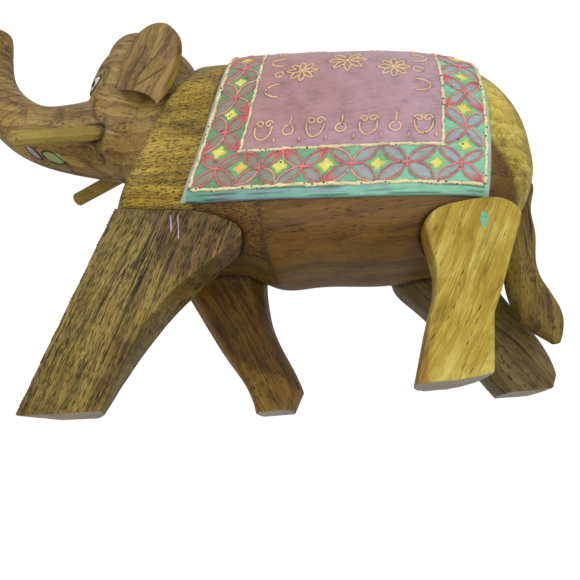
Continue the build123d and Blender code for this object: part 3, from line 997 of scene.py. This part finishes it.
def make_ground_piece(ground, base, outward, surface, dirt):
    """The gesso itself as a closed shell, fine on top and coarse underneath, where it sits in the wood."""
    few = (slice(None, None, UNDER_STEP), slice(None, None, UNDER_STEP))
    under = (base - outward * GESSO_SUNK)[few]
    places = np.vstack([surface.reshape(-1, 3), under.reshape(-1, 3)]) * MM
    mesh = bpy.data.meshes.new("blanket_ground")
    mesh.from_pydata(places.tolist(), [], shell_faces(GRID_ROWS, GRID_COLUMNS, UNDER_STEP))
    spare = len(places) - ground.p.size
    top = np.clip(ground.colours, 0, 1).reshape(-1, 3)
    set_colours(mesh, "paint", np.vstack([top, np.tile(SAGE[:3], (spare, 1))]))
    # The ground is darker beside the raised lines: painted shadow of the relief, and dirt.
    set_attribute(mesh, "grime_and_shade", np.concatenate([dirt.ravel(), np.ones(spare)]))
    material = paint("blanket_ground_paint", field="paint", fleck=0.0, brushed=(170.0, 800.0))
    add_piece("blanket_ground", mesh, material, ("saddle_blanket",))


def make_blanket():
    """The gesso blanket with its painted ground, and every raised line, star and dab as geometry on it."""
    rng = np.random.default_rng(11)
    base = blanket_base()
    outward = grid_normals(base)
    ground = Ground()
    hem_rise = np.clip(ground.fold / HEM_BEVEL, 0, 1)
    side_rise = np.clip(np.minimum(ground.p, LENGTH - ground.p) / SIDE_BEVEL, 0, 1)
    rough = ground.uneven(0.11) * 0.14 + ground.uneven(0.45, 5.0) * 0.07
    lift = 0.25 + (GESSO - 0.25) * np.minimum(hem_rise, side_rise) + rough * 0.8
    surface = base + outward * lift[:, :, None]
    normals = grid_normals(surface)
    reliefs = {name: Relief(surface, normals) for name in RELIEF_PAINTS}

    for spot_p, spot_q in flower_spots():
        apart = np.hypot(ground.p - spot_p, ground.q - spot_q)
        strength = rng.uniform(0.35, 1.0) * (0.5 + 0.5 * spot_p / LENGTH)
        ground.wash(HALO, (1 - ease(apart, 2.6, 5.2)) * strength)
    paint_petals(ground, reliefs, rng)
    for spot in flower_spots():
        place = (spot[0] + rng.uniform(-0.5, 0.5), spot[1] + rng.uniform(-0.4, 0.4))
        reliefs["yellow"].blob(place, rng.uniform(3.2, 4.0), 4, 0.20, 0.4, rng)
    lay_border_lines(reliefs["cream"], rng)
    scrolls(reliefs["gold"], rng)
    paint_panel_and_edges(ground)

    make_ground_piece(ground, base, outward, surface, shade_and_dirt_beside_lines(ground, reliefs))
    for name, (colour, fleck, wash) in RELIEF_PAINTS.items():
        material = paint("blanket_" + name + "_paint", tint=colour, fleck=fleck, wash=wash)
        reliefs[name].make("blanket_" + name, material)


def petal_outlines(centre, reach, petals, bow, first, samples, turn=0.0):
    """The two outlines of each petal of a flower, one after another, as rows of points."""
    s = np.linspace(first, 1, samples)[:, None]
    for petal in range(petals):
        angle = turn + petal * 2 * math.pi / petals
        along = np.array([math.cos(angle), math.sin(angle)])
        beside = np.array([-along[1], along[0]])
        for sign in (-1, 1):
            yield np.array(centre) + reach * (s * along + sign * bow * np.sin(np.pi * s) * beside)


def curl(centre, radius, start, turns, shrink):
    """A spiral, as rows of points."""
    s = np.linspace(0, 1, 30)
    angle = start + turns * 2 * math.pi * s
    reach = radius * (1 - shrink * s)
    return np.stack([centre[0] + reach * np.cos(angle), centre[1] + reach * np.sin(angle)], 1)


def arch(centre, depth, sweep, samples):
    """A round arch that opens along the second axis, as rows of points."""
    s = np.linspace(-1, 1, samples) * sweep
    return np.stack([centre[0] + 4.2 * np.sin(s), centre[1] - depth * np.cos(s)], 1)


def scroll_lines():
    """The gilded scrolls on one half of the mauve panel, as rows of points and a radius."""
    inner_p, inner_q = INNER_LINE
    for k in range(7):
        middle = inner_p + 9.0 + k * 12.7
        if k % 2 == 0:
            yield arch((middle, inner_q + 12.5), 6.6, 1.75, 30), 0.42
            yield curl((middle - 2.2, inner_q + 15.0), 2.2, math.pi, -1.1, 0.6), 0.36
            yield curl((middle + 2.2, inner_q + 15.0), 2.2, 0.0, 1.1, 0.6), 0.36
        else:
            yield curl((middle, inner_q + 10.5), 2.8, math.pi * 0.5, 0.95, 0.15), 0.4
            yield [(middle, inner_q + 13.5), (middle + 0.3, inner_q + 19.0)], 0.36
        yield [(middle + 6.3, inner_q + 4.2), (middle + 6.4, inner_q + 6.6)], 0.34
    for k in range(4):
        middle = inner_q + 36.0 + k * 24.0
        for edge, sign in ((inner_p, 1), (LENGTH - inner_p, -1)):
            upright = arch((middle, 12.0), 6.4, 1.7, 26)[:, ::-1]
            yield upright * (sign, 1) + (edge, 0), 0.42
            yield curl((edge + sign * 11.0, middle + 12.0), 2.6, 0.0, 0.95, 0.2), 0.4


def scrolls(relief, rng):
    """Fine gilded scrolls and flowers on the mauve panel."""
    for flip in (False, True):
        def put(points, radius):
            points = np.array(points)
            if flip:
                points[:, 1] = GIRTH - points[:, 1]
            relief.bead(points, radius, rng, 0.22)

        for points, radius in scroll_lines():
            put(points, radius)
        for middle_p, middle_q, size in PANEL_FLOWERS:
            for outline in petal_outlines((middle_p, middle_q), size, 8, 0.17, 0.12, 16):
                put(outline, 0.38)
            relief.blob((middle_p, GIRTH - middle_q if flip else middle_q), 1.5, 5, 0.15, 0.5, rng)
    for outline in petal_outlines((LENGTH / 2, GIRTH / 2), 14, 12, 0.13, 0.15, 18):
        relief.bead(outline, 0.4, rng, 0.2)


def paint_cap(cap):
    """The forehead cap's rim, flower and dots, squeezed on in relief."""
    rng = np.random.default_rng(21)
    view = (cap, (-140.0, 0.0, 0.0), (0.0, 1.0, 0.0), (0.0, 0.0, 1.0), (1.0, 0.0, 0.0))
    rim = np.array([(0.0, 192.0), (7.6, 196.0), (11.6, 203.0), (8.2, 209.6), (0.0, 212.0)])
    loop = np.vstack([rim, rim[-2::-1] * (-1, 1)])
    cream, pink, yellow = (WoodRelief(*view) for _ in range(3))
    cream.bead(loop, 0.55, rng, 0.15)
    for outline in petal_outlines((0.0, 203.0), 6.2, 6, 0.22, 0.15, 16, math.pi / 2):
        pink.bead(outline, 0.4, rng, 0.12)
    yellow.blob((0.0, 203.0), 1.7, 5, 0.15, 0.5, rng)
    cream.make("cap_rim", paint("cap_rim_paint", tint=CREAM, fleck=0.6), "cap_paint")
    pink.make("cap_flower", paint("cap_flower_paint", tint=PINK, fleck=0.2), "cap_paint")
    yellow.make("cap_dot", paint("cap_dot_paint", tint=YELLOW_PAINT, fleck=0.2), "cap_paint")


def paint_head(head):
    """Painted eyes, and two outlined petals on the underside of the trunk."""
    rng = np.random.default_rng(31)
    white = paint("eye_white_paint", tint=rgb(214, 206, 184), fleck=0.3)
    black = paint("eye_dark_paint", tint=rgb(44, 34, 28), fleck=0.0)
    for name, side in (("left", -1), ("right", 1)):
        view = (head, (0.0, side * 80.0, 0.0), (1.0, 0.0, 0.0), (0.0, 0.0, 1.0), (0.0, -side, 0.0))
        ball, lids = WoodRelief(*view), WoodRelief(*view)
        ball.blob((-72.0, 184.0), 5.0, 2, 0.28, 0.45, rng, 0.15)
        s = np.linspace(-1, 1, 18)
        for sign in (-1, 1):
            lids.bead(np.stack([-72.0 + 6.2 * s, 184.0 + s + sign * 2.9 * (1 - s**2)], 1), 0.55, rng, 0.08)
        lids.blob((-72.4, 184.0), 1.9, 3, 0.03, 1.0, rng)
        ball.make("eye_white_" + name, white, "cap_paint")
        lids.make("eye_line_" + name, black, "cap_paint")
    for name, centre, turn, reach, tone in (
        ("front", (-114.6, -9.0), 0.55, 5.2, rgb(160, 152, 160)),
        ("rear", (-102.6, -9.0), 0.25, 7.0, rgb(138, 156, 92)),
    ):
        view = (head, (0.0, 0.0, 60.0), (1.0, 0.0, 0.0), (0.0, 1.0, 0.0), (0.0, 0.0, 1.0))
        fill, line = WoodRelief(*view), WoodRelief(*view)
        fill.blob(centre, reach, 2, 0.30, 0.3, rng, turn)
        s = np.linspace(-1, 1, 18)
        for sign in (-1, 1):
            bow = sign * 0.46 * reach * (1 - s**2)
            a = centre[0] + reach * s * math.cos(turn) - bow * math.sin(turn)
            b = centre[1] + reach * s * math.sin(turn) + bow * math.cos(turn)
            line.bead(np.stack([a, b], 1), 0.6, rng, 0.1)
        fill.make("trunk_petal_" + name, paint("petal_paint_" + name, tint=tone, fleck=0.3), "cap_paint")
        line.make("trunk_line_" + name, black, "cap_paint")


def paint_drips(front_leg, hind_leg):
    """Lilac drips below the corner of the blanket, and a turquoise splash on the golden leg."""
    rng = np.random.default_rng(41)
    view = ((0.0, -90.0, 0.0), (1.0, 0.0, 0.0), (0.0, 0.0, 1.0), (0.0, 1.0, 0.0))
    drips = WoodRelief(front_leg, *view)
    drips.bead([(-21.6, 87.0), (-21.2, 82.0), (-21.4, 78.5)], 0.5, rng, 0.1)
    drips.bead([(-18.2, 86.5), (-17.8, 80.0), (-18.0, 74.5)], 0.38, rng, 0.1)
    drips.make("lilac_drips", paint("lilac_drip_paint", tint=rgb(176, 150, 168), fleck=0.2))
    splash = WoodRelief(hind_leg, *view)
    for a, b, size in ((117.2, 70.0, 1.7), (116.8, 67.6, 2.0), (116.4, 65.2, 1.5)):
        splash.blob((a, b), size, 3, 0.12, 0.18, rng)
    splash.make("turquoise_splash", paint("splash_paint", tint=rgb(110, 178, 150), fleck=0.0))


def head_cuts(p):
    """Wrinkles round the raised trunk, the line of the cheek, and the nostrils."""
    lifted = ease(-p[:, 0], 112.0, 124.0) * (p[:, 2] > 170.0) * (1 - ease(p[:, 2], 243.0, 247.0))
    wrinkle = band_at((p[:, 2] - 0.55 * (p[:, 0] + 140.0)) % 8.0 - 4.0, 1.3) * 0.45 * lifted
    cheek = np.hypot(p[:, 0] + 50.0, p[:, 2] - 172.0)
    cheek = band_at(cheek - 23.0, 2.0) * 0.8 * (p[:, 2] < 176.0) * (1 - ease(p[:, 0], -56.0, -46.0))
    nostril = np.minimum(np.hypot(p[:, 0] + 149.7, p[:, 1] - 3.2), np.hypot(p[:, 0] + 149.7, p[:, 1] + 3.2))
    nostril = 2.2 * (1 - ease(nostril, 0.6, 2.6)) * (p[:, 2] > 248.0)
    return wrinkle + cheek + nostril


def ear_cuts(p):
    """Grooves that fan out over an ear."""
    reach = np.hypot(p[:, 0] + 53.0, p[:, 2] - 166.0)
    angle = np.arctan2(p[:, 2] - 166.0, p[:, 0] + 53.0)
    cut = sum(band_at((angle - at) * reach, 1.3) for at in (0.15, 0.55, 0.95))
    return 0.6 * cut * ease(reach, 8.0, 13.0) * (1 - ease(reach, 26.0, 31.0))


# --- the pieces of wood ---------------------------------------------------------------------------

# A point on the leaning neck joint and the way it faces, and where the upright shoulder joint stands.
NECK_POINT = np.array([-26.6, 0.0, 150.0])
NECK_NORMAL = np.array([-0.908, 0.0, 0.418])
SHOULDER_X = 20.0
LEG_GRAIN = (0.42, 0.0, 0.91)

# Dark, middle and light tones of each wood.
YELLOW = [rgb(106, 80, 13), rgb(161, 133, 37), rgb(198, 170, 75)]
LEG_TONES = [rgb(76, 56, 17), rgb(128, 106, 43), rgb(166, 142, 72)]
LEG_SHADE = [rgb(62, 42, 14), rgb(106, 80, 34), rgb(138, 108, 50)]
BROWN = [rgb(76, 46, 14), rgb(111, 79, 28), rgb(133, 98, 37)]
RUMP = [rgb(116, 92, 24), rgb(194, 172, 70), rgb(238, 218, 112)]
HEAD = [rgb(88, 56, 25), rgb(138, 108, 54), rgb(170, 142, 74)]
GOLD = [rgb(126, 98, 16), rgb(170, 144, 48), rgb(206, 190, 96)]
GOLD_SHADE = [rgb(96, 64, 17), rgb(146, 108, 35), rgb(180, 142, 54)]
DARK = [rgb(66, 38, 10), rgb(103, 72, 25), rgb(136, 101, 40)]
DARK_FOOT = [rgb(87, 57, 15), rgb(130, 98, 33), rgb(157, 124, 50)]
GREY = [rgb(56, 41, 17), rgb(98, 80, 39), rgb(132, 113, 64)]
TAIL = [rgb(72, 50, 12), rgb(120, 96, 37), rgb(154, 130, 62)]
TUSK = [rgb(118, 94, 32), rgb(148, 126, 50), rgb(174, 154, 78)]


def barrel_joints_and_shade(p):
    """Dark lines along the shoulder joint and the neck joint; the broader band at the neck is also painted
    shade where the shoulder's rounded front turns away.
    """
    ahead_of_neck = (p - NECK_POINT) @ NECK_NORMAL
    return 0.55 * band_at(p[:, 0] - SHOULDER_X, 2.5) + 0.5 * band_at(ahead_of_neck + 1.0, 5.0)


def barrel_second(p):
    """The yellower wood at the front of the shoulder and on the rump."""
    front = 1 - ease(p[:, 0] - 0.2 * p[:, 2], -34.0, -26.0)
    rump = ease(p[:, 0] + 0.35 * (p[:, 2] - 120.0), 118.0, 134.0)
    return np.where(p[:, 0] < SHOULDER_X, front, rump)


def make_barrel():
    """Torso and shoulder, carved as one so that their joint stays tight, then parted."""
    blocks = ("torso_block", "shoulder_block")
    marks = (18.0, 8.0, 0.14)
    barrel = carve_mesh(blocks, 1.0, 4, (1, 0, 0), marks, 0.25, None, barrel_joints_and_shade, barrel_second, 0.6)
    looks = dict(rings=0.6, pores=0.04, streaks=0.42, stains=0.55, shift=0.31, short=0.7)
    material = wood("torso_mango", (1, 0, 0.06), BROWN, RUMP, **looks)
    rear = part_off(barrel, SHOULDER_X * MM + 1e-5, False)
    add_piece("torso_block_carved", rear, material, ("torso_block",))
    looks = dict(rings=0.4, pores=1.15, streaks=0.40, stains=0.40, shift=0.13, short=0.8)
    material = wood("shoulder_mango", (1, 0, -0.08), BROWN, YELLOW, **looks)
    front = part_off(barrel, SHOULDER_X * MM - 1e-5, True)
    add_piece("shoulder_block_carved", front, material, ("shoulder_block",))


def make_head():
    """Head and trunk."""
    looks = dict(rings=1.2, pores=0.08, streaks=0.60, stains=0.9, shift=0.47, short=0.7)
    return carve(
        "head_and_trunk", wood("head_mango", (-0.95, 0, 0.3), HEAD, **looks),
        voxel=0.8, soften=8, shape=head_cuts, grime_and_shade=lambda p: 0.55 * np.clip(head_cuts(p), 0, 1.4),
    )


def make_front_left_leg():
    """The near front leg, browner towards its rear top corner and darker along its top."""
    def second(p):
        return ease(p[:, 0] + 0.15 * (p[:, 2] - 80.0), -38.0, -20.0) * ease(p[:, 2], 48.0, 66.0)

    def grime_and_shade(p):
        return 0.45 * ease(p[:, 2] + 0.07 * p[:, 0], 84.0, 90.0) * ease(-p[:, 1], 30.0, 44.0)

    looks = dict(rings=0.9, pores=1.0, streaks=1.0, stains=0.35, shift=0.05, short=0.45)
    return carve(
        "leg_front_left", wood("front_left_mango", LEG_GRAIN, LEG_TONES, LEG_SHADE, **looks),
        voxel=0.75, soften=3, grain=LEG_GRAIN, second=second, grime_and_shade=grime_and_shade,
        joint_dirt=0.95,
    )


def make_front_right_leg():
    """The far front leg, dark, with a paler foot."""
    grain = (-0.45, 0, 0.9)
    looks = dict(rings=0.6, pores=0.15, streaks=0.6, stains=0.5, shift=0.77, short=0.6)
    carve(
        "leg_front_right", wood("front_right_mango", grain, DARK, DARK_FOOT, **looks),
        voxel=0.8, soften=3, grain=grain,
        second=lambda p: 1 - ease(p[:, 2] + 0.5 * p[:, 0], 18.0, 34.0),
    )


def make_hind_left_leg():
    """The near hind leg, golden, with painted shade down its rounded front."""
    looks = dict(rings=0.8, pores=0.0, streaks=0.28, stains=0.22, shift=0.91, short=0.6)
    return carve(
        "leg_hind_left", wood("hind_left_mango", (0.5, 0, 0.86), GOLD, GOLD_SHADE, **looks),
        voxel=0.75, soften=9, grain=(0.2, 0, 0.98),
        # The second tones paint shade down the leg's rounded front.
        second=lambda p: 1 - ease(p[:, 0] - 0.15 * p[:, 2], 80.0, 88.0),
    )


def make_hind_right_leg():
    """The far hind leg, grey-brown."""
    grain = (-0.6, 0, 0.8)
    looks = dict(rings=0.7, pores=0.2, streaks=0.7, stains=0.5, shift=0.23, short=0.6)
    carve(
        "leg_hind_right", wood("hind_right_mango", grain, GREY, **looks),
        voxel=0.8, soften=3, grain=grain,
    )


def make_tail():
    """The tail and its tuft."""
    grain = (0.1, 0, 1)
    looks = dict(rings=1.0, pores=0.15, streaks=0.9, stains=0.30, shift=0.37, short=0.5)
    carve(
        "tail", wood("tail_mango", grain, TAIL, **looks),
        voxel=0.55, soften=3, grain=grain, marks=(12.0, 4.0, 0.25),
    )


def make_ear_and_tusk(side):
    """One ear and one tusk. side is "left" or "right"."""
    looks = dict(rings=0.8, pores=0.1, streaks=0.5, stains=0.4, shift=0.6, short=0.6)
    carve(
        "ear_" + side, wood("ear_mango_" + side, (0.5, 0, 0.86), HEAD, **looks),
        voxel=0.55, soften=3, grain=(0.3, 0, 1), marks=(9.0, 4.0, 0.18),
        shape=ear_cuts, grime_and_shade=lambda p: 0.8 * ear_cuts(p),
    )
    looks = dict(rings=0.2, pores=0.1, streaks=0.12, stains=0.15, shift=0.2)
    carve(
        "tusk_" + side, wood("tusk_mango_" + side, (-0.92, 0.0, -0.16), TUSK, **looks),
        voxel=0.35, soften=1, grain=(1, 0, 0.16), marks=(14.0, 3.0, 0.12), wave=0.1,
    )


# --- the figure -----------------------------------------------------------------------------------

make_camera()
make_lights()
make_world()
make_floor()
bpy.context.scene.view_settings.view_transform = "Standard"

make_barrel()
head = make_head()
front_leg = make_front_left_leg()
make_front_right_leg()
hind_leg = make_hind_left_leg()
make_hind_right_leg()
make_tail()
for side in ("left", "right"):
    make_ear_and_tusk(side)
cap = carve(
    "head_cap", paint("cap_ground_paint", tint=MAUVE_RIGHT, fleck=0.2), voxel=0.45, soften=2,
    marks=(9.0, 5.0, 0.08), wave=0.05, joint_dirt=0.2,
)
paint_cap(cap)
paint_head(head)
paint_drips(front_leg, hind_leg)
make_blanket()
